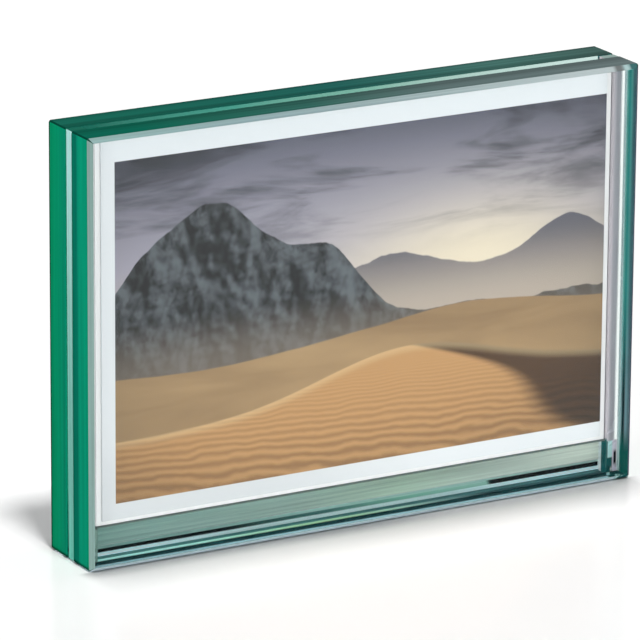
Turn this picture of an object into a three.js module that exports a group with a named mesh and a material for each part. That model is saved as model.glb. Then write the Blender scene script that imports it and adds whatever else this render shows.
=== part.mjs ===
import * as THREE from 'three';
import { ConvexGeometry } from 'three/addons/geometries/ConvexGeometry.js';

// Glass picture frame: two polished panes bonded to a clear U-shaped spacer, and a mounted
// print that drops into the slot between them from above and stands on the base bar.
// Millimetres. X runs along the width, the front faces -Y and +Z is up. The origin is the
// middle of the footprint, on the surface that the frame stands on.

// Photographic print
const PRINT_WIDTH = 152;
const PRINT_HEIGHT = 102;
const PRINT_THICKNESS = 0.25;

// White mount card behind the print: its margins lie beyond the print's edges
const MOUNT_THICKNESS = 2.65;
const MOUNT_SIDE_MARGIN = 1.5;
const MOUNT_END_MARGIN = 1.1;

// Double-sided tape that holds the print on the card, in a strip along its lower and upper edge
const TAPE_THICKNESS = 0.1;
const TAPE_WIDTH = 6;
const TAPE_INSET = 2;

// Glass panes: arris widths on the outer face, the inner face and the four end corners
const PANE_THICKNESS = 10;
const OUTER_ARRIS = 1.2;
const INNER_ARRIS = 0.25;
const CORNER_ARRIS = 0.4;

// Clear spacer: a strip at each end and a base bar between them, bonded to both panes and
// flush with their inner faces
const STRIP_WIDTH = 4.45;
const BAR_HEIGHT = 9.75;
const SPACER_ARRIS = 0.3;
const BOND_THICKNESS = 0.25;

// Room for the insert in the slot
const FACE_CLEARANCE = 0.3;
const SIDE_CLEARANCE = 0.3;
const TOP_RECESS = 1.5;

// Sizes that follow from the print
const mountWidth = PRINT_WIDTH + 2 * MOUNT_SIDE_MARGIN;
const mountHeight = PRINT_HEIGHT + 2 * MOUNT_END_MARGIN;
const insertDepth = PRINT_THICKNESS + TAPE_THICKNESS + MOUNT_THICKNESS;
const slotWidth = mountWidth + 2 * SIDE_CLEARANCE;
const slotDepth = insertDepth + 2 * FACE_CLEARANCE;
const spacerDepth = slotDepth - 2 * BOND_THICKNESS;
const barTop = INNER_ARRIS + BAR_HEIGHT;
const frameWidth = slotWidth + 2 * (STRIP_WIDTH + INNER_ARRIS);
const frameHeight = barTop + mountHeight + TOP_RECESS;
const stripHeight = frameHeight - 2 * INNER_ARRIS;
const stripCentre = (slotWidth + STRIP_WIDTH) / 2;

// Front faces of the insert's sheets, from the viewer's side to the back
const printFront = -slotDepth / 2 + FACE_CLEARANCE;
const tapeFront = printFront + PRINT_THICKNESS;
const mountFront = tapeFront + TAPE_THICKNESS;
const printBottom = barTop + MOUNT_END_MARGIN;
const printTop = printBottom + PRINT_HEIGHT;

/** The four corners of an upright rectangle centred on the Y axis. */
function corners(width, height, y) {
  const points = [];
  for (const x of [-width / 2, width / 2]) {
    for (const z of [-height / 2, height / 2]) points.push(new THREE.Vector3(x, y, z));
  }
  return points;
}

/** Block about its own centre with a flat arris on every edge: front, back and end corners. */
function arrisedBlock(width, depth, height, front, back, end) {
  const frontRim = -depth / 2 + front;
  const backRim = depth / 2 - back;
  return new ConvexGeometry([
    ...corners(width - 2 * front, height - 2 * front, -depth / 2),
    ...corners(width - 2 * back, height - 2 * back, depth / 2),
    ...[frontRim, backRim].flatMap((y) => corners(width, height - 2 * end, y)),
    ...[frontRim, backRim].flatMap((y) => corners(width - 2 * end, height, y)),
  ]);
}

/** Named mesh of a geometry centred on its own origin: its front face and its foot are placed. */
function piece(name, geometry, material, x, front, bottom) {
  geometry.computeBoundingBox();
  const { min } = geometry.boundingBox;
  const mesh = new THREE.Mesh(geometry, material);
  mesh.name = name;
  mesh.position.set(x, front - min.y, bottom - min.z);
  return mesh;
}

const glass = () => new THREE.MeshStandardMaterial({
  color: 0x8fcab8, roughness: 0.03, metalness: 0, transparent: true, opacity: 0.4,
});
const clearBond = () => new THREE.MeshStandardMaterial({
  color: 0xd8ebe6, roughness: 0.15, metalness: 0, transparent: true, opacity: 0.3,
});
const whiteCard = () => new THREE.MeshStandardMaterial({ color: 0xf3f6f5, roughness: 0.85, metalness: 0 });
const printPaper = () => new THREE.MeshStandardMaterial({ color: 0x8c7a66, roughness: 0.35, metalness: 0 });
const paleTape = () => new THREE.MeshStandardMaterial({ color: 0xe6e2d4, roughness: 0.5, metalness: 0 });

/** The two panes, the back one turned so that its wide arris faces away from the slot. */
function panes() {
  const block = (front, back) =>
    arrisedBlock(frameWidth, PANE_THICKNESS, frameHeight, front, back, CORNER_ARRIS);
  const frontPlane = -slotDepth / 2 - PANE_THICKNESS;
  return [
    piece('front_pane', block(OUTER_ARRIS, INNER_ARRIS), glass(), 0, frontPlane, 0),
    piece('back_pane', block(INNER_ARRIS, OUTER_ARRIS), glass(), 0, slotDepth / 2, 0),
  ];
}

/** One leg of the spacer with a bonding film on each of its two flat faces. */
function spacerLeg(name, width, height, x) {
  const leg = arrisedBlock(width, spacerDepth, height, SPACER_ARRIS, SPACER_ARRIS, SPACER_ARRIS);
  const bond = () =>
    new THREE.BoxGeometry(width - 2 * SPACER_ARRIS, BOND_THICKNESS, height - 2 * SPACER_ARRIS);
  const bondBottom = INNER_ARRIS + SPACER_ARRIS;
  return [
    piece(`${name}_spacer`, leg, glass(), x, -spacerDepth / 2, INNER_ARRIS),
    piece(`${name}_bond_front`, bond(), clearBond(), x, -slotDepth / 2, bondBottom),
    piece(`${name}_bond_back`, bond(), clearBond(), x, spacerDepth / 2, bondBottom),
  ];
}

/** The U-shaped spacer: base bar, left strip and right strip. */
function spacer() {
  return [
    ...spacerLeg('base', slotWidth, BAR_HEIGHT, 0),
    ...spacerLeg('left', STRIP_WIDTH, stripHeight, -stripCentre),
    ...spacerLeg('right', STRIP_WIDTH, stripHeight, stripCentre),
  ];
}

/** One strip of tape between the print and the mount card. */
function tapeStrip(name, bottom) {
  const strip = new THREE.BoxGeometry(PRINT_WIDTH - 2 * TAPE_INSET, TAPE_THICKNESS, TAPE_WIDTH);
  return piece(name, strip, paleTape(), 0, tapeFront, bottom);
}

/** The insert that lifts out of the slot: the print taped to its mount card. */
function insert() {
  const print = new THREE.BoxGeometry(PRINT_WIDTH, PRINT_THICKNESS, PRINT_HEIGHT);
  const mount = new THREE.BoxGeometry(mountWidth, MOUNT_THICKNESS, mountHeight);
  return [
    piece('photo_print', print, printPaper(), 0, printFront, printBottom),
    tapeStrip('print_tape_lower', printBottom + TAPE_INSET),
    tapeStrip('print_tape_upper', printTop - TAPE_INSET - TAPE_WIDTH),
    piece('mount_card', mount, whiteCard(), 0, mountFront, barTop),
  ];
}

const pictureFrame = new THREE.Group();
pictureFrame.name = 'glass_picture_frame';
pictureFrame.add(...panes(), ...spacer(), ...insert());

export default pictureFrame;
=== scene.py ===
"""Looks of a free-standing glass picture frame: polished panes, clear spacer and a mounted print."""

import math

import bpy
import numpy as np
from mathutils import Matrix, Vector


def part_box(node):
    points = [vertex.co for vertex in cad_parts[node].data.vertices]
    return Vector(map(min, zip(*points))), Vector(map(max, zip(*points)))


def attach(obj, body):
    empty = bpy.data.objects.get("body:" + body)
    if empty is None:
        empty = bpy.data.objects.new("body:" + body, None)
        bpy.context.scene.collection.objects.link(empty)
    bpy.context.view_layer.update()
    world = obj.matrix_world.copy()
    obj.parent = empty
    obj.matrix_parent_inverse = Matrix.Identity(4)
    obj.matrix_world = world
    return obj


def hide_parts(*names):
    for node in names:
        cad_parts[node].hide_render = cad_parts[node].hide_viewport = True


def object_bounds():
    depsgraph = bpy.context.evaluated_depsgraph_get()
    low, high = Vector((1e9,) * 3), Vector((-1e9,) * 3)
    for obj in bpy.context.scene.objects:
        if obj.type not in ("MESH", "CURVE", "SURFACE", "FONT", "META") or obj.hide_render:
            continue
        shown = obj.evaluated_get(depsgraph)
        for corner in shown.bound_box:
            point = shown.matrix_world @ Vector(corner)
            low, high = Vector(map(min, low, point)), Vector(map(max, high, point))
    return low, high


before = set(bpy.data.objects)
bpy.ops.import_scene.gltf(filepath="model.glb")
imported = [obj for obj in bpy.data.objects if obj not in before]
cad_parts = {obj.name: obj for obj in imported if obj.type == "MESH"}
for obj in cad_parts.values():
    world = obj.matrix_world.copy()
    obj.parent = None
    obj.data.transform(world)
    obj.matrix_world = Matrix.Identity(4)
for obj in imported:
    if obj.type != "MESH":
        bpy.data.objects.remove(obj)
CAD_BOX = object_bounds()
SCENE = bpy.context.scene

# Axes of the shared frame
X, Y, Z = 0, 1, 2

# Rounding of the panes' arrises and corners, the thin pieces and the films, in metres, and its steps
EDGE_ROUND = 0.00012
CORNER_ROUND = 0.0007
FINE_ROUND = 0.00004
FILM_ROUND = 0.00002
ARC_STEPS = 4

# An arris wider than this has its own finish
WIDE_ARRIS = 0.0005

# The foot's finish climbs this far up the round behind it
FOOT_SEAM = 0.0005

# An edge face that slants more than this both sideways and up or down belongs to a corner
CORNER_SLANT = 0.2

# Space left all round the spacer's legs and films, so that no two faces coincide
BOND_SKIN_GAP = 0.00001

# Torn ends of the tape
TAPE_TEETH = 6
TAPE_TOOTH_DEPTH = 0.0005

# White margins of the print: left, right, lower, upper. The picture's width over its height.
PRINT_MARGINS = (0.0040, 0.0, 0.0043, 0.0061)
PICTURE_ASPECT = 1.61

# Depth of the card's and the tape's fibre
FIBRE_DEPTH = 0.00002

# Painted shade on the bare paper, as its tone at the left and at the right: along the lower margin and
# above it. The places along the width where it turns, and the heights between the lower margin and
# the rest.
LOWER_SHADE_LEVELS = (0.84, 0.99)
UPPER_SHADE_LEVELS = (0.95, 1.0)
LOWER_TURN = (-0.035, 0.035)
UPPER_TURN = (-0.08, 0.03)
MARGIN_TURN = (0.015, 0.04)

# Share of full light that reaches each painted surface: a colour is divided by it, to show as written
END_LIGHT = 0.82
TOP_LIGHT = 1.05
TOP_BEVEL_LIGHT = 1.07
LEFT_BEVEL_LIGHT = 0.75
RIGHT_BEVEL_LIGHT = 0.56
FOOT_LIGHT = 0.55
FOOT_BEVEL_LIGHT = 0.95
FOOT_LIP_LIGHT = 0.5
FOOT_RIM_LIGHT = 0.28
STRIP_LIGHT = 0.6
STRIP_SIDE_LIGHT = 0.95
STRIP_HEAD_LIGHT = 0.86
BAR_END_LIGHT = 0.6
BAR_TOP_LIGHT = 0.7
BAND_LIGHT = 0.8
WITHIN_LIGHT = 0.33

# Refraction: the bonded spacer hardly bends the light against its films
GLASS_IOR = 1.52
SPACER_IOR = 1.05

# Tints of the glass: its faces, between two tones, and the panes' and strips' edges from within
FACE_TINTS = ((0.97, 0.99, 0.985, 1), (0.985, 1.0, 0.995, 1))
PANE_EDGE_TINT = (0.62, 0.86, 0.90, 1)
STRIP_EDGE_TINT = (0.8, 0.9, 0.88, 1)
WHITE = (1.0, 1.0, 1.0, 1.0)

# Places along the width between which the left end's colours turn into the right end's
SIDES_MEET = (-0.01, 0.01)

# Where a pane's inner face begins to show its colour and shows it in full: from the pane's end, and from
# the card's top
BACK_RIM = (-0.0008, -0.0007)
FRONT_RIM = (-0.00065, -0.0005)
TOP_RIM = (-0.0002, 0.0)

# Heights at the panes' ends where the painted shade line along the foot stops, and where their painted
# shade towards the foot ends at full tone
END_SHADE_LINE_TOP = (0.0008, 0.0013)
END_FOOT_SHADE_TOP = (0.02, 0.1)

# Heights at the panes' ends, in their painted reflection from within, where the dark foot turns grey
# and the grey turns teal
WITHIN_GREY = (0.006, 0.014)
WITHIN_TEAL = (0.018, 0.055)

# Painted reflections on the near foot, in dark and pale patches: their counts per metre along x, y and z,
# and where they begin from the bar's end
REFLECTION_PATCH_COUNTS = (700.0, 260.0, 260.0)
REFLECTIONS_BEGIN = (-0.0006, 0.0001)

# Heights on the near foot's arris: the top of its rim, which is painted paler against the shade there, and
# where the lip turns into the bevel
RIM_TOP = 0.0004
LIP_TOP = (0.0005, 0.0008)

# Line along the far foot: where it widens, its heights before and after, and its soft edge
LINE_STEP = (0.0445, 0.0455)
LINE_HEIGHTS = (0.00052, 0.00076)
LINE_SOFT = 0.00007

# Places where the far foot's painted reflection lightens from its middle, and where its arris's painted
# shade lightens from left to right
FAR_FOOT_PALE = (0.02, 0.07)
FAR_ARRIS_PALE = (-0.08, 0.08)

# Spacer's foot: the centre and width of its green middle, and the places where it darkens
GREEN_MIDDLE = (-0.01, 0.03)
SPACER_DARKENS = (0.005, 0.045)

# From the base bar's top: where a strip's side turns pale and the bar turns to its painted shade. From
# its film's top: where a strip's film changes. From a strip's slot side: how far that side's colours reach.
SIDE_PALE = (-0.0005, 0.0005)
BAR_SHADE = (-0.001, -0.0005)
FILM_CHANGES = (-0.0005, -0.0001)
SLOT_SIDE_REACH = 0.001

# Depth within the bar's right end where its dark teal turns pale
BAR_END_PALE = (0.0005, 0.0008)

# Foot of a strip's film: where its dark block turns pale, and the centre and width of its painted highlight
# and of its spot
BLOCK_PALE = (0.0044, 0.0049)
PAINTED_GLINT_HEIGHT = (0.0012, 0.0006)
SPOT_HEIGHT = (0.0045, 0.0022)

# Lower edge of the film behind the base bar
BAND_FOOT = (0.00357, 0.00377)

# Streaks in the films, as counts per metre along x, y and z
BAR_STREAKS = (9.0, 1.0, 900.0)
STRIP_STREAKS = (500.0, 1.0, 9.0)

# Floor: how far it reaches from the middle, and its gap below the feet
FLOOR_REACH = 4.0
FLOOR_GAP = 0.0001

# Shade on the floor before the frame: where it ends from the frame's front and its sides, its reach, the
# places between its left and right strength, and the most it takes away
SHADE_FRONT = (0.0, 0.002)
SHADE_SIDES = (-0.001, 0.004)
CONTACT_REACH = 0.022
CONTACT_TURN = (-0.05, 0.035)
CONTACT_SHADES = (1.08, 1.5)
CONTACT_MOST = 0.64

# Darker shade close to the foot: where it begins and is full from the frame's front, where it ends along
# the width, and its strength
CLOSE_FRONT = (-0.0065, 0.001)
CLOSE_ENDS = (-0.005, 0.03)
CLOSE_SHADE = 0.42

# Faint glow of the floor far from the frame: where it begins and is full, and its strength
GLOW_REACH = (0.15, 0.6)
FLOOR_GLOW = 0.12

# Share of the world's white that falls as light on matt surfaces
WORLD_FILL = 0.15

# Camera at the photograph's viewing angle
VIEW_YAW = math.radians(-29.753)
VIEW_PITCH = math.radians(16.767)
VIEW_ROLL = math.radians(0.409)
VIEW_DISTANCE = 1.5311
VIEW_TARGET = Vector((-0.00832, 0.0, 0.05453))
LENS_MM = 327.66
SENSOR_MM = 36.0


def linear(code):
    """Linear RGBA of a colour written as an sRGB hex code."""
    channels = np.array([int(code[i : i + 2], 16) for i in (0, 2, 4)]) / 255
    curve = np.where(channels <= 0.04045, channels / 12.92, ((channels + 0.055) / 1.055) ** 2.4)
    return (*curve.tolist(), 1.0)


def shown(code, light):
    """Base colour that shows as the sRGB code where that share of full light falls on it."""
    return (*(channel / light for channel in linear(code)[:3]), 1.0)


def stops(light, *pairs):
    """Ramp stops from pairs of place and sRGB code, as the codes show under that share of full light."""
    return [(position, shown(code, light)) for position, code in pairs]


def beside(place, offsets):
    """Places at the given offsets from another one."""
    return [place + offset for offset in offsets]


# Surfaces


def rounded_profile(corners, radius, steps):
    """A polyline whose inner corners become quadratic curves that begin and end one radius away."""
    corners = np.asarray(corners, float)
    before, corner, after = corners[:-2], corners[1:-1], corners[2:]

    def leg(towards):
        step = towards - corner
        return corner + radius * step / np.linalg.norm(step, axis=1, keepdims=True)

    t = np.linspace(0, 1, steps + 1)[None, :, None]
    curve = (1 - t) ** 2 * leg(before)[:, None] + 2 * t * (1 - t) * corner[:, None]
    curve += t**2 * leg(after)[:, None]
    return np.vstack([corners[:1], curve.reshape(-1, 2), corners[-1:]])


def rounded_rectangles(bounds, radius, steps):
    """One upright rounded rectangle per row of bounds (x0, x1, z0, z1): quarter circles of that row's
    radius about the four inset corners, anticlockwise as seen from the front."""
    turn = np.linspace(0, np.pi / 2, steps + 1)[None, :] + np.pi / 2 * np.arange(4)[:, None]
    x0, x1, z0, z1 = bounds.T
    centre_x = np.stack([x1 - radius, x0 + radius, x0 + radius, x1 - radius], 1)[:, :, None]
    centre_z = np.stack([z1 - radius, z1 - radius, z0 + radius, z0 + radius], 1)[:, :, None]
    x = centre_x + radius[:, None, None] * np.cos(turn)
    z = centre_z + radius[:, None, None] * np.sin(turn)
    return np.stack([x, z], -1).reshape(len(x0), -1, 2)


def ring_faces(rows, columns):
    """Quads between neighbouring rings of points."""
    near = np.arange(rows - 1)[:, None] * columns
    far = near + columns
    column = np.arange(columns)[None, :]
    following = (column + 1) % columns
    quads = np.stack([near + column, far + column, far + following, near + following], -1)
    return quads.reshape(-1, 4)


def loft(rings, depth):
    """Surface through rings of (x, z) points, each at its own depth y, capped at both ends. Returns points,
    faces and the row of each face: -1 for the front cap, and the number of rings for the back cap."""
    rows, columns = rings.shape[:2]
    y = np.broadcast_to(np.asarray(depth, float)[:, None], (rows, columns))
    points = np.stack([rings[..., 0], y, rings[..., 1]], -1).reshape(-1, 3)
    front = list(range(columns))
    back = list(range(rows * columns - 1, (rows - 1) * columns - 1, -1))
    row_of = np.concatenate([[-1], np.repeat(np.arange(rows - 1), columns), [rows]])
    return points, [front, *ring_faces(rows, columns).tolist(), back], row_of


def inset_block(low, high, front, back, edge_round, corner_round):
    """Block with a rounded arris round its front and back faces: the profile front face, arris, wall,
    arris, back face is carried round a rounded rectangle drawn in by the profile's inset."""
    depth = high[1] - low[1]
    rim = 2 * edge_round
    profile = rounded_profile(
        [(front + rim, 0), (front, 0), (0, front), (0, depth - back), (back, depth), (back + rim, depth)],
        edge_round,
        ARC_STEPS,
    )
    inset, y = profile.T
    bounds = np.stack([low[0] + inset, high[0] - inset, low[2] + inset, high[2] - inset], 1)
    drawn_in = np.clip(inset / max(front, back), 0, 1)
    radius = np.maximum(corner_round * (1 - drawn_in), edge_round)
    points, faces, rows = loft(rounded_rectangles(bounds, radius, ARC_STEPS), low[1] + y)
    return points, faces, rows, len(profile)


def toothed_outline(low, high, teeth, tooth):
    """Anticlockwise outline of a strip torn off on a toothed blade: straight along, zigzag at both ends."""
    climb = np.linspace(low[2], high[2], 2 * teeth + 1)
    notch = tooth * (np.arange(2 * teeth + 1) % 2)
    right = np.stack([high[0] - notch, climb], 1)
    left = np.stack([low[0] + notch, climb], 1)[::-1]
    return np.vstack([right, left])


def make_mesh(name, points, faces):
    """Mesh of plain arrays."""
    mesh = bpy.data.meshes.new(name)
    mesh.from_pydata(points.tolist(), [], faces)
    mesh.update()
    return mesh


def face_vectors(mesh, name):
    """One vector per face, such as its normal or its centre."""
    values = np.empty(len(mesh.polygons) * 3, np.float32)
    mesh.polygons.foreach_get(name, values)
    return values.reshape(-1, 3)


def mark_faces(mesh, name, values):
    """Face attribute that a material reads."""
    attribute = mesh.attributes.new(name, "FLOAT", "FACE")
    attribute.data.foreach_set("value", np.asarray(values, np.float32))


def place(mesh, material, body, node, slot):
    """Puts a finished piece in the scene in place of its CAD node."""
    piece = bpy.data.objects.new(mesh.name, mesh)
    SCENE.collection.objects.link(piece)
    mesh.materials.append(material)
    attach(piece, body)
    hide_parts(node)


def node_box(node):
    """Low and high corner of a CAD node, as arrays."""
    return (np.array(corner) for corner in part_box(node))


def arris_widths(node):
    """How far the front and the back face of a CAD block stand in from its sides."""
    points = np.array([v.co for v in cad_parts[node].data.vertices], float)
    low, high = points.min(0), points.max(0)
    faces = [points[np.isclose(points[:, 1], y, atol=1e-6)] for y in (low[1], high[1])]
    return [high[0] - face[:, 0].max() for face in faces]


# Node trees


class Graph:
    """Short ways to grow one node tree."""

    # The mix node's sockets for two colours and for their blend
    COLOUR_A, COLOUR_B, COLOUR_OUT = 6, 7, 2

    def __init__(self, tree):
        self.tree = tree

    def node(self, kind, **settings):
        made = self.tree.nodes.new(kind)
        for name, value in settings.items():
            setattr(made, name, value)
        return made

    def feed(self, socket, value):
        if isinstance(value, bpy.types.NodeSocket):
            self.tree.links.new(value, socket)
        else:
            socket.default_value = value

    def filled(self, made, **values):
        """Feeds a node's inputs by name, with underscores for spaces, and returns its outputs."""
        for name, value in values.items():
            self.feed(made.inputs[name.replace("_", " ")], value)
        return made.outputs

    def math(self, operation, *values, clamp=False):
        made = self.node("ShaderNodeMath", operation=operation, use_clamp=clamp)
        for socket, value in zip(made.inputs, values):
            self.feed(socket, value)
        return made.outputs[0]

    def add(self, a, b):
        return self.math("ADD", a, b)

    def less(self, a, b):
        return self.math("SUBTRACT", a, b)

    def times(self, a, b):
        return self.math("MULTIPLY", a, b)

    def times_plus(self, a, b, c):
        return self.math("MULTIPLY_ADD", a, b, c)

    def size(self, value):
        return self.math("ABSOLUTE", value)

    def step(self, value, low, high, to_low=0.0, to_high=1.0):
        """Smooth rise from to_low to to_high as value goes from low to high."""
        made = self.node("ShaderNodeMapRange", interpolation_type="SMOOTHSTEP")
        limits = {"From_Min": low, "From_Max": high, "To_Min": to_low, "To_Max": to_high}
        return self.filled(made, Value=value, **limits)["Result"]

    def blend(self, factor, a, b, mode="MIX"):
        made = self.node("ShaderNodeMix", data_type="RGBA", blend_type=mode)
        self.feed(made.inputs["Factor"], factor)
        self.feed(made.inputs[self.COLOUR_A], a)
        self.feed(made.inputs[self.COLOUR_B], b)
        return made.outputs[self.COLOUR_OUT]

    def ramp(self, value, *pairs):
        """Colours met one after another as value rises: pairs of position and colour."""
        made = self.node("ShaderNodeValToRGB")
        self.feed(made.inputs[0], value)
        elements = made.color_ramp.elements
        while len(elements) < len(pairs):
            elements.new(1.0)
        for element, (position, colour) in zip(elements, pairs):
            element.position = position
            element.color = colour
        return made.outputs[0]

    def share(self, value, start, end):
        """0 at start and 1 at end, and straight between them."""
        return self.math("DIVIDE", self.less(value, start), end - start)

    def bell(self, value, centre, width):
        """Gaussian hump: 1 at the centre, about a third one width away."""
        offset = self.math("DIVIDE", self.less(value, centre), width)
        return self.math("EXPONENT", self.times(self.times(offset, offset), -1.0))

    def toned(self, colour, factor):
        """Colour times a number."""
        return self.blend(1.0, colour, self.vector(factor, factor, factor), "MULTIPLY")

    def vector(self, x, y, z):
        made = self.node("ShaderNodeCombineXYZ")
        for socket, value in zip(made.inputs, (x, y, z)):
            self.feed(socket, value)
        return made.outputs[0]

    def split(self, vector):
        made = self.node("ShaderNodeSeparateXYZ")
        self.feed(made.inputs[0], vector)
        return made.outputs

    def noise(self, vector, scale, detail=2.0, roughness=0.5, distortion=0.0):
        made = self.node("ShaderNodeTexNoise", noise_dimensions="3D")
        grain = {"Detail": detail, "Roughness": roughness, "Distortion": distortion}
        return self.filled(made, Vector=vector, Scale=scale, **grain)[0]

    def mapped(self, vector, **change):
        return self.filled(self.node("ShaderNodeMapping"), Vector=vector, **change)[0]

    def scaled(self, vector, x, y, z):
        return self.mapped(vector, Scale=(x, y, z))

    def object_position(self):
        return self.node("ShaderNodeTexCoord").outputs["Object"]

    def xyz(self):
        return self.split(self.object_position())

    def attribute(self, name):
        return self.node("ShaderNodeAttribute", attribute_name=name).outputs["Fac"]

    def bump(self, height, strength, distance):
        made = self.node("ShaderNodeBump")
        return self.filled(made, Strength=strength, Distance=distance, Height=height)[0]

    def group(self, tree, **values):
        return self.filled(self.node("ShaderNodeGroup", node_tree=tree), **values)


def new_group(name, inputs, outputs):
    """Empty shader node group with float inputs and the outputs that are named."""
    tree = bpy.data.node_groups.new(name, "ShaderNodeTree")
    for label, value in inputs.items():
        socket = tree.interface.new_socket(label, in_out="INPUT", socket_type="NodeSocketFloat")
        socket.default_value = value
    for label in outputs:
        tree.interface.new_socket(label, in_out="OUTPUT", socket_type="NodeSocketFloat")
    g = Graph(tree)
    return tree, g, g.node("NodeGroupInput").outputs, g.node("NodeGroupOutput").inputs


def new_material(name):
    """Material with a Principled shader: returns it, its graph and the shader's inputs."""
    material = bpy.data.materials.new(name)
    material.use_nodes = True
    tree = material.node_tree
    shader = next(n for n in tree.nodes if n.type == "BSDF_PRINCIPLED")
    return material, Graph(tree), shader.inputs


def share_of(g, node, value, axis):
    """0 at a CAD node's low side along an axis and 1 at its high side."""
    low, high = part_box(node)
    return g.share(value, low[axis], high[axis])


def card_fibre_group():
    """Paper fibre: strands over a mottling some sixteen times as coarse, mixed three to two, as a tone
    about 1 and a height."""
    inputs = {"Strand size": 0.0004, "Contrast": 0.04}
    tree, g, given, out = new_group("card_fibre", inputs, ["Tone", "Height"])
    position = g.object_position()
    scale = g.math("DIVIDE", 1.0, given["Strand size"])
    strands = g.noise(position, scale, 4.0, 0.65, 1.2)
    mottle = g.noise(position, g.times(scale, 0.06), 2.0)
    both = g.add(g.times(strands, 0.6), g.times(mottle, 0.4))
    g.feed(out["Tone"], g.add(1.0, g.times(g.less(both, 0.5), given["Contrast"])))
    g.feed(out["Height"], strands)
    return tree


def polish_group():
    """Traces of polishing, as a haze: faint wiped smears on the faces and fine lines along the edges."""
    inputs = {"Smear": 0.01, "Edge haze": 0.03, "Edge": 0.0}
    tree, g, given, out = new_group("polish", inputs, ["Haze", "Lines"])
    position = g.object_position()
    smear = g.step(g.noise(position, 38.0, 5.0, 0.62, 0.8), 0.5, 0.8)
    lines = g.noise(g.scaled(position, 12.0, 1600.0, 12.0), 1.0, 3.0)
    face_haze = g.times(smear, given["Smear"])
    edge_haze = g.times(g.times(given["Edge"], lines), given["Edge haze"])
    g.feed(out["Haze"], g.add(face_haze, edge_haze))
    g.feed(out["Lines"], lines)
    return tree


CARD_FIBRE = card_fibre_group()
POLISH = polish_group()


# Glass


def clear_glass(shader, ior):
    """Settings that all the glass shares: full transmission and a faint mirror."""
    shader["Transmission Weight"].default_value = 1.0
    shader["IOR"].default_value = ior
    shader["Specular Tint"].default_value = (0.05, 0.05, 0.05, 1.0)


def face_glass(name, ior, rim=None):
    """Glass as seen through its faces: clear, with wiped smears, and tinted where a rim is given."""
    material, g, shader = new_material(name)
    polish = g.group(POLISH, Smear=0.006, Edge_haze=0.0, Edge=0.0)
    clear = g.blend(polish["Lines"], *FACE_TINTS)
    g.feed(shader["Base Color"], rim(g, clear) if rim else clear)
    g.feed(shader["Roughness"], polish["Haze"])
    clear_glass(shader, ior)
    return material


def slot_rim(g, clear):
    """Inner face of the back pane: along its top and its ends the glass shows its depth of colour, deep
    green at the left and pale at the right."""
    x, y, z = g.xyz()
    low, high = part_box("back_pane")
    card_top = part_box("mount_card")[1][2]
    inner = g.math("LESS_THAN", y, low[1] + EDGE_ROUND)
    top = g.step(z, *beside(card_top, TOP_RIM))
    end = g.step(g.size(x), *beside(high[0], BACK_RIM))
    depth = g.ramp(
        g.share(x, low[0], high[0]),
        (0.05, (0.0001, 0.02, 0.01, 1)),
        (0.3, (0.004, 0.10, 0.06, 1)),
        (0.55, (0.040, 0.20, 0.13, 1)),
        (0.95, (0.334, 0.56, 0.50, 1)),
    )
    tinted = g.blend(g.times(top, inner), clear, depth)
    return g.blend(g.times(end, inner), tinted, (0.0001, 0.05, 0.017, 1))


def end_rim(g, clear):
    """Inner face of the front pane: beyond the strips' films it shows dark teal."""
    x, y, _ = g.xyz()
    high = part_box("front_pane")[1]
    inner = g.math("GREATER_THAN", y, high[1] - EDGE_ROUND)
    end = g.step(g.size(x), *beside(high[0], FRONT_RIM))
    return g.blend(g.times(end, inner), clear, (0.05, 0.17, 0.165, 1))


def streaked_finish(name, paint, haze, tones, roughness):
    """Painted edge of the glass, broken up into lighter and darker tones by polishing lines."""
    material, g, shader = new_material(name)
    polish = g.group(POLISH, Smear=0.0, Edge_haze=haze, Edge=1.0)
    streak = g.step(polish["Lines"], 0.3, 0.7, *tones)
    g.feed(shader["Base Color"], g.toned(paint(g, *g.xyz()), streak))
    g.feed(shader["Roughness"], g.add(roughness, polish["Haze"]))
    shader["Specular IOR Level"].default_value = 0.0
    return material, g, shader


def edge_finish(name, paint):
    """Polished glass edge: its depth of colour under a thin gloss, from outside only. Also returns the
    inputs of a second shader, which shows from within the glass."""
    material, g, shader = streaked_finish(name, paint, haze=0.25, tones=(0.86, 1.1), roughness=0.3)
    shader["Coat Weight"].default_value = 0.015
    shader["Coat Roughness"].default_value = 0.06
    inner = g.node("ShaderNodeBsdfPrincipled")
    surface = next(n for n in g.tree.nodes if n.type == "OUTPUT_MATERIAL").inputs["Surface"]
    outer = surface.links[0].from_socket
    within = g.node("ShaderNodeNewGeometry").outputs["Backfacing"]
    mix = g.node("ShaderNodeMixShader")
    for socket, source in zip(mix.inputs, (within, outer, inner.outputs[0])):
        g.feed(socket, source)
    g.feed(surface, mix.outputs[0])
    return material, g, inner.inputs


def clear_edge(name, paint, tint, ior):
    """Polished edge that from within mirrors and lets light out as the faces do."""
    material, _, inner = edge_finish(name, paint)
    inner["Base Color"].default_value = tint
    inner["Roughness"].default_value = 0.0
    clear_glass(inner, ior)
    return material


def edge_painted_within(name, paint, within):
    """Polished edge that from within shows a painted reflection in place of a mirror."""
    material, g, inner = edge_finish(name, paint)
    g.feed(inner["Base Color"], within(g, *g.xyz()))
    inner["Roughness"].default_value = 0.3
    inner["Specular IOR Level"].default_value = 0.0
    return material


# Edges of the panes


def by_side(g, x, left, right):
    """One value at the left end of the frame and another at the right end."""
    return g.blend(g.step(x, *SIDES_MEET), left, right)


def with_painted_corner_shade(g, wall, bevel):
    """A pane's wall and its wide arris, with painted shade at its corners."""
    dark = shown("02382c", END_LIGHT)
    return g.blend(g.attribute("corner"), g.blend(g.attribute("arris"), wall, bevel), dark)


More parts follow.
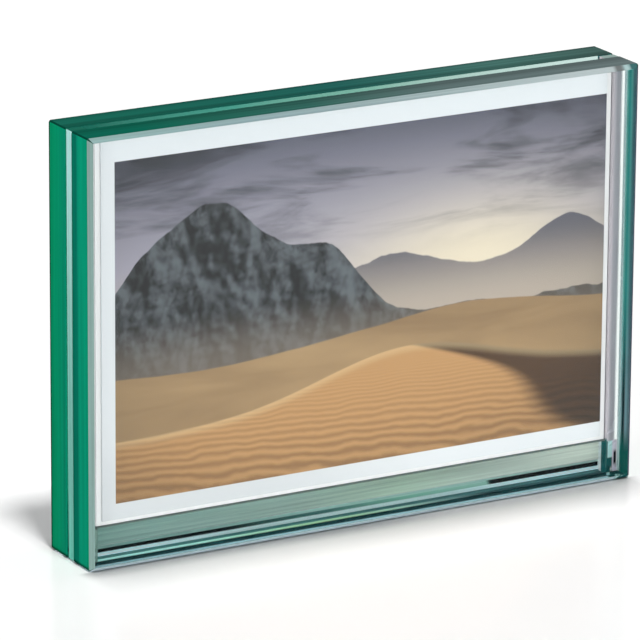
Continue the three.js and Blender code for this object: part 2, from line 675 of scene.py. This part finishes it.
def pane_end(name, inner, outer, shades, bevels):
    """Ends of a pane: colours from the slot side to the outer face, a wide arris that is another colour at
    the left than at the right, and painted shade at the corners, towards the foot and in a dark line along
    it. From within they show a painted reflection: bands of teal, greyer and with a darker line towards
    the foot."""
    teal = stops(
        WITHIN_LIGHT,
        (0.0, "537f78"),
        (0.08, "3c7c74"),
        (0.17, "2e736e"),
        (0.34, "4c827c"),
        (0.44, "466b6b"),
        (0.54, "3d575c"),
    )
    grey = stops(
        WITHIN_LIGHT,
        (0.0, "77868a"),
        (0.08, "223c3e"),
        (0.2, "000a0d"),
        (0.34, "6e7e82"),
        (0.46, "667a7e"),
        (0.56, "505e62"),
    )

    def paint(g, x, y, z):
        # Painted shade: a little darker towards the foot, and a dark line along it
        painted_light_level = g.times(g.step(z, *END_FOOT_SHADE_TOP, 0.9, 1.0), g.step(z, *END_SHADE_LINE_TOP, 0.3, 1.0))
        wall = g.toned(g.ramp(g.share(y, inner, outer), *shades), painted_light_level)
        return with_painted_corner_shade(g, wall, by_side(g, x, *bevels))

    def within(g, x, y, z):
        depth = g.share(y, inner, outer)
        lower = g.blend(g.step(z, *WITHIN_GREY), shown("0a4c45", WITHIN_LIGHT), g.ramp(depth, *grey))
        return g.blend(g.step(z, *WITHIN_TEAL), lower, g.ramp(depth, *teal))

    return edge_painted_within(name, paint, within)


def pane_top(name, inner, outer, shades, bands, bevels):
    """Top of a pane: colours from left to right in bands of painted light and shade from the slot side to
    the outer face, painted shade at its corners, and a wide arris with colours of its own from left to
    right."""

    def paint(g, x, y, z):
        along = share_of(g, "front_pane", x, X)
        tones = [(position, (painted_light_level, painted_light_level, painted_light_level, 1)) for position, painted_light_level in bands]
        wall = g.blend(1.0, g.ramp(along, *shades), g.ramp(g.share(y, inner, outer), *tones), "MULTIPLY")
        return with_painted_corner_shade(g, wall, g.ramp(along, *bevels))

    return clear_edge(name, paint, PANE_EDGE_TINT, GLASS_IOR)


def foot_finish(name, paint):
    """Foot that is seen through the glass: bands of colour, duller than the other edges."""
    material, _, _ = streaked_finish(name, paint, haze=0.2, tones=(0.9, 1.08), roughness=0.4)
    return material


def foot_shade(code):
    """Base colour of a foot that shows as the code."""
    return shown(code, FOOT_LIGHT)


def painted_corner_reflections(g, x, bands):
    """The bands of a foot, broken up beyond the base bar's right end by painted reflections in dark teal
    and pale patches.
    """
    bar_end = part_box("base_spacer")[1][0]
    patches = g.step(g.noise(g.scaled(g.object_position(), *REFLECTION_PATCH_COUNTS), 1.0, 2.0), 0.52, 0.62)
    corner = g.blend(patches, foot_shade("0e3c3c"), foot_shade("86a8a6"))
    return g.blend(g.step(x, *beside(bar_end, REFLECTIONS_BEGIN)), bands, corner)


def near_foot():
    """Front pane's foot: pale towards the viewer, nearly black at the slot as painted shade in the gap
    under the spacer, and with painted reflections in patches at its right end.
    """

    def paint(g, x, y, z):
        shades = stops(FOOT_LIGHT, (0.72, "96b0b6"), (0.82, "163538"))
        return painted_corner_reflections(g, x, g.ramp(share_of(g, "front_pane", y, Y), *shades))

    return foot_finish("front_pane_foot", paint)


def near_foot_arris():
    """Front pane's foot arris: pale above and a lavender grey lip below, whose rim is painted paler against
    the shade close to the floor, and with painted reflections in patches at its right end."""

    def paint(g, x, y, z):
        rim, lip = (shown("8c959b", light) for light in (FOOT_RIM_LIGHT, FOOT_LIP_LIGHT))
        lower = g.blend(g.step(z, 0.0, RIM_TOP), rim, lip)
        bevel = shown("9eb7ba", FOOT_BEVEL_LIGHT)
        return painted_corner_reflections(g, x, g.blend(g.step(z, *LIP_TOP), lower, bevel))

    return clear_edge("front_pane_foot_arris", paint, PANE_EDGE_TINT, GLASS_IOR)


def foot_line(g, x):
    """Line along the far foot, a painted reflection: black towards both ends, where it shows the shade
    under the frame, and sea green between them.
    """
    shades = stops(
        FOOT_LIGHT,
        (0.29, "00070a"),
        (0.37, "31514d"),
        (0.475, "446764"),
        (0.62, "719889"),
        (0.775, "89a69c"),
        (0.78, "00070a"),
    )
    return g.ramp(share_of(g, "back_pane", x, X), *shades)


def far_foot():
    """Back pane's foot: dark teal at the slot, then pale cyan, a painted reflection that is paler towards
    the ends, then the line that its arris carries on.
    """

    def paint(g, x, y, z):
        depth = share_of(g, "back_pane", y, Y)
        pale = g.blend(g.step(g.size(x), *FAR_FOOT_PALE), foot_shade("acb4b5"), foot_shade("cdd9de"))
        bands = g.blend(g.step(depth, 0.20, 0.33), foot_shade("3f6466"), pale)
        return g.blend(g.step(depth, 0.70, 0.78), bands, foot_line(g, x))

    return foot_finish("back_pane_foot", paint)


def far_foot_arris():
    """Back pane's foot arris: the far foot's line below, wider at its right end, and green grey above,
    darker to the left, as painted shade like that of the band over it.
    """

    def paint(g, x, y, z):
        above = g.blend(g.step(x, *FAR_ARRIS_PALE), foot_shade("809c95"), foot_shade("9cb0aa"))
        line_top = g.step(x, *LINE_STEP, *LINE_HEIGHTS)
        return g.blend(g.step(g.less(z, line_top), -LINE_SOFT, LINE_SOFT), foot_line(g, x), above)

    return foot_finish("back_pane_foot_arris", paint)


# Spacer and films


def spacer_foot():
    """Spacer's foot: cyan with a green middle, darker towards the right end, and dark teal at the back."""

    def paint(g, x, y, z):
        middle = g.blend(g.bell(x, *GREEN_MIDDLE), foot_shade("9abcbb"), foot_shade("90ac8e"))
        front = g.blend(g.step(x, *SPACER_DARKENS), middle, foot_shade("2d4b4e"))
        depth = share_of(g, "base_spacer", y, Y)
        return g.blend(g.step(depth, 0.62, 0.8), front, foot_shade("3f6466"))

    return foot_finish("spacer_foot", paint)


def strip_edge():
    """Edge of an end strip: pale at the top and sea green towards the foot on its outer side. The side that
    faces the slot is pale grey above the base bar, and beside it green grey at the left and dark teal at
    the right, as painted shade in the joint."""

    def paint(g, x, y, z):
        slot_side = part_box("right_spacer")[0][0]
        bar_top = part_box("base_spacer")[1][2]
        outer = g.ramp(
            share_of(g, "right_spacer", z, Z),
            (0.0, (0.143, 0.527, 0.42, 1)),
            (0.15, (0.183, 0.496, 0.417, 1)),
            (0.38, (0.213, 0.514, 0.444, 1)),
            (0.62, (0.31, 0.59, 0.53, 1)),
            (0.9, shown("a5d1ce", STRIP_HEAD_LIGHT)),
        )
        foot = by_side(g, x, shown("9cbdb5", BAR_END_LIGHT), shown("1a5656", BAR_END_LIGHT))
        side = by_side(g, x, (0.95, 0.96, 0.97, 1), shown("bbb6bc", STRIP_SIDE_LIGHT))
        inner = g.blend(g.step(z, *beside(bar_top, SIDE_PALE)), foot, side)
        return g.blend(g.math("LESS_THAN", g.size(x), slot_side + SLOT_SIDE_REACH), outer, inner)

    return clear_edge("strip_edge", paint, STRIP_EDGE_TINT, SPACER_IOR)


def strip_top():
    """Top of an end strip: green at the left as the panes are there, pale at the right."""

    def paint(g, x, y, z):
        return by_side(g, x, shown("1a6453", TOP_LIGHT), shown("93aaa4", TOP_LIGHT))

    return clear_edge("strip_top", paint, STRIP_EDGE_TINT, SPACER_IOR)


def bar_edge():
    """Top and ends of the base bar: painted shade under the card and at the right end, where the strip
    meets it, and green grey at the left end. From within, the right end is painted dark teal in front and
    pale behind."""

    def paint(g, x, y, z):
        bar_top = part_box("base_spacer")[1][2]
        ends = by_side(g, x, shown("7e928c", BAR_END_LIGHT), shown("1a5656", BAR_END_LIGHT))
        return g.blend(g.step(z, *beside(bar_top, BAR_SHADE)), ends, shown("56625f", BAR_TOP_LIGHT))

    def within(g, x, y, z):
        right = g.blend(g.step(y, *BAR_END_PALE), shown("0e4042", WITHIN_LIGHT), (0.95, 0.97, 1.0, 1))
        return by_side(g, x, shown("7fa59c", WITHIN_LIGHT), right)

    return edge_painted_within("bar_edge", paint, within)


def bond_film(name, tint, streaks, haze, clear, cover=None):
    """Cured film with streaks drawn along its length as it was laid, clear or more or less milky. Where a
    cover is given, the film is missing outside it."""
    material, g, shader = new_material(name)
    position = g.object_position()
    polish = g.group(POLISH, Smear=haze, Edge_haze=0.0, Edge=0.0)
    fine = g.noise(g.scaled(position, *streaks), 1.0, 4.0, 0.6)
    shade = g.step(fine, 0.25, 0.75, 0.8, 1.08)
    g.feed(shader["Base Color"], g.toned(tint(g, *g.split(position)), shade))
    g.feed(shader["Roughness"], g.add(haze, polish["Haze"]))
    clear_glass(shader, SPACER_IOR)
    shader["Transmission Weight"].default_value = clear
    if cover:
        g.feed(shader["Alpha"], cover(g, *g.split(position)))
    return material


def clear_tint(g, x, y, z):
    """Film on the front of the base bar: clear."""
    return (0.97, 1.0, 0.99, 1)


def band_painted_shade(g, x, y, z):
    """Film on the back of the base bar: green grey, paler to the right, as painted shade that stands in for
    the frame's shadow on the floor behind, seen through the glass.
    """
    shades = stops(
        BAND_LIGHT, (0.0, "829a96"), (0.41, "94a29d"), (0.6, "adbeaf"), (0.8, "c5ccc5"), (0.98, "e2e4db")
    )
    return g.ramp(share_of(g, "base_spacer", x, X), *shades)


def band_cover(g, x, y, z):
    """1 where the film on the back of the base bar is laid: above its foot, where it is left out."""
    return g.step(z, *BAND_FOOT)


def along_strip(g, x):
    """0 at an end strip's slot side and 1 at its outer side."""
    return share_of(g, "right_spacer", g.size(x), X)


def above_bar(g, z):
    """0 beside the base bar's films and 1 above them."""
    film_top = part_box("base_bond_front")[1][2]
    return g.step(z, *beside(film_top, FILM_CHANGES))


def strip_foot_blocks(g, along, z):
    """Foot of an end strip's front film: a dark teal block under a pale one, with a small painted
    highlight, and further out a lavender block with a dark spot."""
    pale, dark = shown("9fc0c0", STRIP_LIGHT), shown("0c4444", STRIP_LIGHT)
    block = g.blend(g.step(along, 0.12, 0.16), dark, g.blend(g.step(z, *BLOCK_PALE), dark, pale))
    painted_glint = g.times(g.bell(along, 0.40, 0.06), g.bell(z, *PAINTED_GLINT_HEIGHT))
    block = g.blend(painted_glint, block, WHITE)
    humps = g.bell(along, 0.66, 0.1), g.bell(z, *SPOT_HEIGHT)
    spot = g.times(*(g.step(hump, 0.2, 0.7) for hump in humps))
    post = g.blend(spot, shown("b4b0bb", STRIP_LIGHT), (0.0, 0.0, 0.004, 1))
    return g.blend(g.step(along, 0.44, 0.48), block, post)


def strip_tint(g, x, y, z):
    """Film on an end strip. The front one is grey beside the slot, painted white about the slit that is
    left in it, as light that shows through, and teal at its outer edge, with blocks of colour at its foot.
    The back one is evenly grey."""
    along = along_strip(g, x)
    bands = g.ramp(
        along,
        *stops(STRIP_LIGHT, (0.0, "b3aeb4"), (0.17, "a5a2a8"), (0.30, "94959b"), (0.52, "98999f")),
        # Painted light: white about the slit
        (0.62, WHITE),
        (0.76, WHITE),
        *stops(STRIP_LIGHT, (0.88, "9ab0b4"), (0.97, "84b0ac")),
    )
    foot = g.times(g.less(1.0, above_bar(g, z)), g.step(along, 0.76, 0.80, 1.0, 0.0))
    front = g.blend(foot, bands, strip_foot_blocks(g, along, z))
    return g.blend(g.math("GREATER_THAN", y, 0.0), front, shown("b4b5b9", STRIP_LIGHT))


def strip_cover(g, x, y, z):
    """1 where an end strip's film is laid: all but a narrow slit that is left along the front one."""
    along = along_strip(g, x)
    slit = g.times(g.step(along, 0.61, 0.65), g.step(along, 0.80, 0.86, 1.0, 0.0))
    front = g.times(g.math("LESS_THAN", y, 0.0), above_bar(g, z))
    return g.less(1.0, g.times(slit, front))


# Paper and card


def card_material(name, colour, strand, contrast, roughness):
    """Uncoated card: plain colour broken up by its fibre."""
    material, g, shader = new_material(name)
    fibre = g.group(CARD_FIBRE, Strand_size=strand, Contrast=contrast)
    g.feed(shader["Base Color"], g.toned(linear(colour), fibre["Tone"]))
    g.feed(shader["Normal"], g.bump(fibre["Height"], 0.6, FIBRE_DEPTH))
    shader["Roughness"].default_value = roughness
    return material


def skyline(g, u, base, rises, jag, seed):
    """Height of a skyline over u: a base, bell-shaped rises and a jagged edge."""
    spot = g.vector(g.times(u, 5.0), seed, 0.0)
    height = g.times_plus(g.noise(spot, 1.0, 8.0, 0.58), jag, base - jag / 2)
    for centre, width, rise in rises:
        height = g.times_plus(g.bell(u, centre, width), rise, height)
    return height


def under(g, height, v):
    """1 below a skyline and 0 above it, with a narrow soft edge."""
    return g.step(g.less(height, v), -0.003, 0.003)


def evening_sky(g, plane, u, v):
    """Pale haze over the horizon that deepens upwards, a low glow and drawn-out dark cloud."""
    sky = g.ramp(v, (0.40, linear("d6cabd")), (0.68, linear("aca8b6")), (1.0, linear("666879")))
    glow = g.times(g.bell(u, 0.74, 0.28), g.bell(v, 0.56, 0.18))
    sky = g.blend(glow, sky, linear("f0e3cb"))
    cloud = g.step(g.noise(g.scaled(plane, 1.7, 8.0, 1.0), 1.0, 8.0, 0.6, 0.5), 0.44, 0.66)
    return g.blend(g.times(cloud, g.step(v, 0.56, 0.88, 0.0, 0.9)), sky, linear("30343d"))


def crags(g, plane, v):
    """Dark rock lit by the slope of a rough height towards the right, with haze at its foot."""
    face = g.scaled(plane, 6.0, 4.5, 1.0)
    shifted = g.mapped(face, Location=(0.10, 0.06, 0.0))
    slope = g.less(*(g.noise(spot, 1.0, 10.0, 0.62) for spot in (shifted, face)))
    rock = g.blend(g.step(slope, -0.08, 0.12), linear("0b1014"), linear("636a70"))
    return g.blend(g.step(v, 0.36, 0.54, 0.55, 0.0), rock, linear("8d8174"))


def ripples(g, plane, u, v):
    """Wind ripples: sine bands that wander a little, close up towards the horizon and fade there."""
    bed = g.math("DIVIDE", 1.0, g.less(0.52, v))
    wander = g.times_plus(g.noise(g.scaled(plane, 5.0, 7.0, 1.0), 1.0, 4.0), 16.0, g.times(u, 22.0))
    wave = g.math("SINE", g.times_plus(bed, 46.0, wander))
    return g.times(g.times_plus(wave, 0.5, 0.5), g.step(v, 0.0, 0.32, 0.6, 0.06))


def great_dune(g, plane, u, v, crest):
    """Near dune with a winding spine between its lit and its shaded side, and light along its crest."""
    drop = g.less(0.33, v)
    bend = g.times(g.math("SINE", g.times(drop, 15.0)), 0.055)
    spine = g.add(g.times_plus(drop, 1.1, 0.60), bend)
    shaded = g.step(g.less(u, spine), -0.012, g.times_plus(drop, 0.2, 0.012))
    wave = ripples(g, plane, u, v)
    lit = g.blend(wave, linear("c89a66"), linear("7c5532"))
    shade = g.blend(wave, linear("54391f"), linear("2c1d12"))
    rim = g.step(g.less(crest, v), 0.0, 0.03, 0.35, 0.0)
    return g.blend(rim, g.blend(shaded, lit, shade), linear("ecd3a6"))


def lens_fall_off(g, plane, u, v):
    """Tone that dims towards the rim, with a fine grain."""
    across = g.math("POWER", g.size(g.times_plus(u, 2.0, -1.0)), 3.0)
    upward = g.math("POWER", g.size(g.times_plus(v, 2.0, -1.0)), 4.0)
    grain = g.times_plus(g.noise(plane, 420.0, 1.0), 0.16, 0.92)
    return g.times(g.step(g.add(across, upward), 0.0, 2.0, 1.0, 0.62), grain)


def landscape(g, u, v):
    """Dunes before a dark range under an evening sky, in picture shares u along and v up."""
    plane = g.vector(g.times(u, PICTURE_ASPECT), v, 0.0)
    far = skyline(g, u, 0.52, ((0.55, 0.14, 0.10), (0.92, 0.12, 0.13)), 0.07, 3.7)
    near = skyline(g, u, 0.43, ((0.20, 0.16, 0.40), (0.43, 0.10, 0.18), (0.02, 0.10, 0.12)), 0.10, 8.2)
    dune = skyline(g, u, 0.385, ((0.72, 0.22, 0.05), (0.15, 0.25, -0.03)), 0.012, 1.3)
    crest = skyline(g, u, 0.18, ((0.60, 0.26, 0.15), (1.0, 0.2, 0.03)), 0.006, 5.5)
    hills = g.blend(g.step(v, 0.42, 0.66), linear("bdb0a3"), linear("63636e"))
    sway = g.noise(g.scaled(plane, 2.2, 9.0, 1.0), 1.0, 5.0, 0.55, 0.6)
    sand = g.blend(sway, linear("7d6244"), linear("c4a478"))
    picture = g.blend(under(g, far, v), evening_sky(g, plane, u, v), hills)
    picture = g.blend(under(g, near, v), picture, crags(g, plane, v))
    picture = g.blend(under(g, dune, v), picture, sand)
    picture = g.blend(under(g, crest, v), picture, great_dune(g, plane, u, v, crest))
    return g.toned(picture, lens_fall_off(g, plane, u, v))


def painted_margin_shade(g, x, z):
    """Painted shade on the bare paper: full tone at the right, duller to the left, most of all along the
    lower margin.
    """
    lower = g.step(x, *LOWER_TURN, *LOWER_SHADE_LEVELS)
    upper = g.step(x, *UPPER_TURN, *UPPER_SHADE_LEVELS)
    return g.times_plus(g.step(z, *MARGIN_TURN), g.less(upper, lower), lower)


def print_material():
    """Satin photographic paper: a landscape within white margins on its front, bare fibre on its back."""
    material, g, shader = new_material("printed_paper")
    x, _, z = g.xyz()
    low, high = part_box("photo_print")
    left, right, lower, upper = PRINT_MARGINS
    u = g.share(x, low[0] + left, high[0] - right)
    v = g.share(z, low[2] + lower, high[2] - upper)
    mask = g.attribute("printed")
    for share in (u, v):
        mask = g.times(mask, g.math("GREATER_THAN", share, 0.0))
        mask = g.times(mask, g.math("LESS_THAN", share, 1.0))
    fibre = g.group(CARD_FIBRE, Strand_size=0.0003, Contrast=0.03)
    paper = g.toned(linear("ecf0f4"), g.times(fibre["Tone"], painted_margin_shade(g, x, z)))
    g.feed(shader["Base Color"], g.blend(mask, paper, landscape(g, u, v)))
    g.feed(shader["Roughness"], g.times_plus(fibre["Tone"], 0.2, 0.2))
    g.feed(shader["Normal"], g.bump(fibre["Height"], 0.25, 0.00001))
    return material


# Pieces


def mark_sides(mesh, rows, count, front, back):
    """Face masks of a block: its ends, top, foot and wide arris. Those of its corners and wide arris also
    go to the mesh, for the materials to read."""
    across, _, up = face_vectors(mesh, "normal").T
    height = face_vectors(mesh, "center")[:, 2]
    behind = count - 2 - rows
    edge = (np.minimum(rows, behind) >= ARC_STEPS - 1) & (rows < count)
    from_arris = rows if front > back else behind
    arris = edge & (from_arris < 2 * ARC_STEPS) & (max(front, back) > WIDE_ARRIS)
    mark_faces(mesh, "corner", edge & (np.minimum(np.abs(across), np.abs(up)) > CORNER_SLANT))
    mark_faces(mesh, "arris", arris)
    level = np.abs(across) < np.abs(up)
    seam = (behind >= 0) & (behind < ARC_STEPS - 1) & (height - height.min() < FOOT_SEAM)
    return edge & ~level, edge & level & (up > 0), edge & level & (up < 0) | seam, arris


def glass_piece(name, node, finish, slot, edge_round, corner_round, gap=0.0):
    """Rounded-arris block in the place of a CAD glass block or film, smaller by a gap all round where it is
    bonded. Its finish names the materials of its faces, ends, top, foot and foot arris, where the faces'
    one stands in for the rest."""
    low, high = node_box(node)
    front, back = (max(width, 2 * edge_round) for width in arris_widths(node))
    points, faces, rows, count = inset_block(low + gap, high - gap, front, back, edge_round, corner_round)
    mesh = make_mesh(name, points, faces)
    ends, top, foot, arris = mark_sides(mesh, rows, count, front, back)
    parts = ("faces", "ends", "top", "foot", "foot_arris")
    masks = {"ends": ends, "top": top, "foot_arris": foot & arris, "foot": foot}
    part = np.select(list(masks.values()), [parts.index(key) for key in masks], parts.index("faces"))
    materials = [finish.get(key, finish["faces"]) for key in parts]
    distinct = list(dict.fromkeys(materials))
    place(mesh, distinct[0], "frame", node, slot)
    for material in distinct[1:]:
        mesh.materials.append(material)
    index = np.array([distinct.index(material) for material in materials], np.int32)
    mesh.polygons.foreach_set("material_index", index[part])


def make_front_pane():
    """Front pane: deep green ends, a top that turns from green to grey, and a pale wide arris that shows
    the strip's bands at its right end."""
    low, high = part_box("front_pane")
    ends = stops(
        END_LIGHT, (0.0, "02604e"), (0.28, "036c58"), (0.42, "058c6c"), (0.86, "058868"), (1.0, "03705a")
    )
    tops = stops(TOP_LIGHT, (0.1, "045e4c"), (0.4, "2d5e55"), (0.65, "566968"), (1.0, "627070"))
    # Painted light and shade across the top, from the slot side to the outer face
    bands = ((0.0, 0.95), (0.12, 0.8), (0.3, 0.86), (0.62, 1.12), (0.8, 1.08), (0.95, 0.86))
    top_bevel = stops(
        TOP_BEVEL_LIGHT,
        (0.05, "90afad"),
        (0.3, "90a9ac"),
        (0.6, "9cafb0"),
        (0.9, "acb8b9"),
        (0.95, "acb8b9"),
        (0.957, "6c7272"),
        (0.967, "6c7272"),
        (0.973, "a3bebe"),
        (0.979, "a3bebe"),
        (0.984, "3c6666"),
    )
    end_bevels = shown("768f8a", LEFT_BEVEL_LIGHT), shown("3a4550", RIGHT_BEVEL_LIGHT)
    finish = {
        "faces": face_glass("front_pane_glass", GLASS_IOR, end_rim),
        "ends": pane_end("front_pane_end", high[1], low[1], ends, end_bevels),
        "top": pane_top("front_pane_top", high[1], low[1], tops, bands, top_bevel),
        "foot": near_foot(),
        "foot_arris": near_foot_arris(),
    }
    glass_piece("polished_front_pane", "front_pane", finish, "glass", EDGE_ROUND, CORNER_ROUND)


def make_back_pane():
    """Back pane: deep green ends, a green top that is paler to the right, and a dark green wide arris."""
    low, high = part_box("back_pane")
    ends = stops(END_LIGHT, (0.0, "057c60"), (0.5, "02865e"), (0.79, "028258"), (0.83, "013c2c"))
    tops = stops(TOP_LIGHT, (0.1, "125c4d"), (0.5, "1d5851"), (0.8, "3e665f"), (1.0, "3c5752"))
    # Painted light and shade across the top, from the slot side to the outer face
    bands = ((0.0, 0.86), (0.16, 0.82), (0.36, 1.2), (0.66, 1.16), (0.84, 0.74), (1.0, 0.68))
    top_bevel = stops(TOP_BEVEL_LIGHT, (0.0, "1c463c"), (1.0, "2c4a44"))
    end_bevels = (shown("04553f", END_LIGHT),) * 2
    finish = {
        "faces": face_glass("back_pane_glass", GLASS_IOR, slot_rim),
        "ends": pane_end("back_pane_end", low[1], high[1], ends, end_bevels),
        "top": pane_top("back_pane_top", low[1], high[1], tops, bands, top_bevel),
        "foot": far_foot(),
        "foot_arris": far_foot_arris(),
    }
    glass_piece("polished_back_pane", "back_pane", finish, "glass", EDGE_ROUND, CORNER_ROUND)


def make_spacer():
    """Spacer legs and the bonding films on their two faces."""
    clear, foot = face_glass("spacer_glass", SPACER_IOR), spacer_foot()
    bar_films = (
        bond_film("bar_front_film", clear_tint, BAR_STREAKS, haze=0.01, clear=1.0),
        bond_film("bar_back_film", band_painted_shade, BAR_STREAKS, haze=0.3, clear=0.0, cover=band_cover),
    )
    milky = bond_film("strip_film", strip_tint, STRIP_STREAKS, haze=0.2, clear=0.2, cover=strip_cover)
    strip_films = (milky, milky)
    dark = bar_edge()
    bar = {"ends": dark, "top": dark, "foot": foot}
    strip = {"ends": strip_edge(), "top": strip_top(), "foot": foot}
    legs = {"base": (bar, bar_films), "left": (strip, strip_films), "right": (strip, strip_films)}
    for leg, (edges, films) in legs.items():
        node = f"{leg}_spacer"
        finish = {"faces": clear, **edges}
        glass_piece(f"clear_{node}", node, finish, "glass", FINE_ROUND, FINE_ROUND, BOND_SKIN_GAP)
        for side, film in zip(("front", "back"), films):
            node = f"{leg}_bond_{side}"
            finish = {"faces": film, **edges}
            glass_piece(f"clear_{node}", node, finish, "clear_bond", FILM_ROUND, FINE_ROUND, BOND_SKIN_GAP)


def make_sheet(name, node, material, slot):
    """Flat sheet with eased edges. Its front face is marked as the printed one."""
    low, high = node_box(node)
    ease = min(2 * FINE_ROUND, (high[1] - low[1]) / 4)
    points, faces, rows, _ = inset_block(low, high, ease, ease, ease / 4, FINE_ROUND)
    mesh = make_mesh(name, points, faces)
    mark_faces(mesh, "printed", rows == -1)
    place(mesh, material, "insert", node, slot)


def make_tape(name, node, material):
    """Strip of tape with toothed ends: its outline carried straight through its thickness."""
    low, high = node_box(node)
    outline = toothed_outline(low, high, TAPE_TEETH, TAPE_TOOTH_DEPTH)
    points, faces, _ = loft(np.stack([outline, outline]), [low[1], high[1]])
    place(make_mesh(name, points, faces), material, "insert", node, "tape")


def make_insert():
    """Print, its tape and the mount card, which lift out together."""
    make_sheet("landscape_print", "photo_print", print_material(), "photo_paper")
    card = card_material("white_mount_card", "fdfdfe", strand=0.0004, contrast=0.05, roughness=0.8)
    make_sheet("white_mount_card", "mount_card", card, "white_card")
    tape = card_material("paper_tape", "e6e2d4", strand=0.0006, contrast=0.1, roughness=0.55)
    for end in ("lower", "upper"):
        make_tape(f"toothed_tape_{end}", f"print_tape_{end}", tape)


# Stage, light and camera


def contact_light(g, x, y):
    """Light left on the floor before the frame, for what is seen directly: a wide soft shade, stronger to
    the right, and a narrow one close to the foot, which ends right of the middle."""
    low, high = CAD_BOX
    nearby = g.node("ShaderNodeAmbientOcclusion", samples=16)
    nearby.inputs["Distance"].default_value = CONTACT_REACH
    before = g.times(
        g.step(y, *beside(low[1], SHADE_FRONT), 1.0, 0.0),
        g.step(g.size(x), *beside(high[0], SHADE_SIDES), 1.0, 0.0),
    )
    seen = g.times(before, g.node("ShaderNodeLightPath").outputs["Is Camera Ray"])
    strength = g.step(x, *CONTACT_TURN, *CONTACT_SHADES)
    wide = g.math("MINIMUM", g.times(g.less(1.0, nearby.outputs["AO"]), strength), CONTACT_MOST)
    narrow = g.times(
        g.step(y, *beside(low[1], CLOSE_FRONT), 0.0, CLOSE_SHADE),
        g.step(x, *CLOSE_ENDS, 1.0, 0.0),
    )
    return g.times(g.less(1.0, g.times(wide, seen)), g.less(1.0, g.times(narrow, seen)))


def floor_material():
    """Pale floor with a faint grain, shaded close before the frame and glowing faintly far away."""
    material, g, shader = new_material("pale_floor")
    position = g.object_position()
    x, y, _ = g.split(position)
    pale = g.blend(g.noise(position, 60.0, 3.0), linear("f9f9f9"), linear("fbfbfb"))
    g.feed(shader["Base Color"], g.toned(pale, contact_light(g, x, y)))
    away = g.node("ShaderNodeVectorMath", operation="LENGTH")
    g.feed(away.inputs[0], position)
    g.feed(shader["Emission Color"], g.toned(WHITE, g.step(away.outputs["Value"], *GLOW_REACH)))
    shader["Emission Strength"].default_value = FLOOR_GLOW
    shader["Roughness"].default_value = 0.2
    shader["Specular IOR Level"].default_value = 0.15
    return material


def make_floor():
    """Wide square floor a hair below the feet."""
    sides = FLOOR_REACH * np.array([(-1, -1), (1, -1), (1, 1), (-1, 1)])
    corners = np.column_stack([sides, np.full(4, -FLOOR_GAP)])
    floor = bpy.data.objects.new("floor", make_mesh("floor", corners, [[0, 1, 2, 3]]))
    SCENE.collection.objects.link(floor)
    floor.data.materials.append(floor_material())


def make_softbox(name, towards, distance, size, radiance):
    """Square lamp in the given direction from the object, turned to face it."""
    data = bpy.data.lights.new(name, "AREA")
    data.shape = "SQUARE"
    data.size = size
    data.energy = radiance * math.pi * size * size
    lamp = bpy.data.objects.new(name, data)
    away = Vector(towards).normalized()
    lamp.location = away * distance
    lamp.rotation_euler = away.to_track_quat("Z", "Y").to_euler()
    SCENE.collection.objects.link(lamp)


def make_world():
    """White to sight and through glass, and softer as light on matt surfaces."""
    world = bpy.data.worlds.new("studio")
    SCENE.world = world
    world.use_nodes = True
    g = Graph(world.node_tree)
    path = g.node("ShaderNodeLightPath").outputs
    seen = g.add(path["Is Camera Ray"], path["Is Glossy Ray"])
    seen = g.math("ADD", seen, path["Is Transmission Ray"], clamp=True)
    background = next(n for n in world.node_tree.nodes if n.type == "BACKGROUND")
    g.feed(background.inputs["Color"], WHITE)
    g.feed(background.inputs["Strength"], g.times_plus(seen, 1.0 - WORLD_FILL, WORLD_FILL))


def make_camera():
    """Long lens from the front left, turned a little about its own axis."""
    level = math.cos(VIEW_PITCH)
    back = Vector((math.sin(VIEW_YAW) * level, -math.cos(VIEW_YAW) * level, math.sin(VIEW_PITCH)))
    data = bpy.data.cameras.new("camera")
    data.lens = LENS_MM
    data.sensor_width = SENSOR_MM
    camera = bpy.data.objects.new("camera", data)
    turn = back.to_track_quat("Z", "Y").to_matrix().to_4x4() @ Matrix.Rotation(VIEW_ROLL, 4, "Z")
    camera.matrix_world = Matrix.Translation(VIEW_TARGET + back * VIEW_DISTANCE) @ turn
    SCENE.collection.objects.link(camera)
    SCENE.camera = camera


def set_light_paths():
    """Bounces enough to cross all the glass, with nothing blurred on the way."""
    SCENE.cycles.max_bounces = 96
    SCENE.cycles.transmission_bounces = 64
    SCENE.cycles.glossy_bounces = 64
    SCENE.cycles.transparent_max_bounces = 16
    SCENE.cycles.blur_glossy = 0.0


make_front_pane()
make_back_pane()
make_spacer()
make_insert()
make_floor()
make_softbox("key_softbox", towards=(-0.035, -0.303, 0.952), distance=6.4, size=0.9, radiance=142.0)
make_softbox("left_softbox", towards=(-0.95, -0.2, 0.25), distance=4.0, size=1.6, radiance=5.0)
make_world()
make_camera()
set_light_paths()
SCENE.view_settings.view_transform = "Standard"
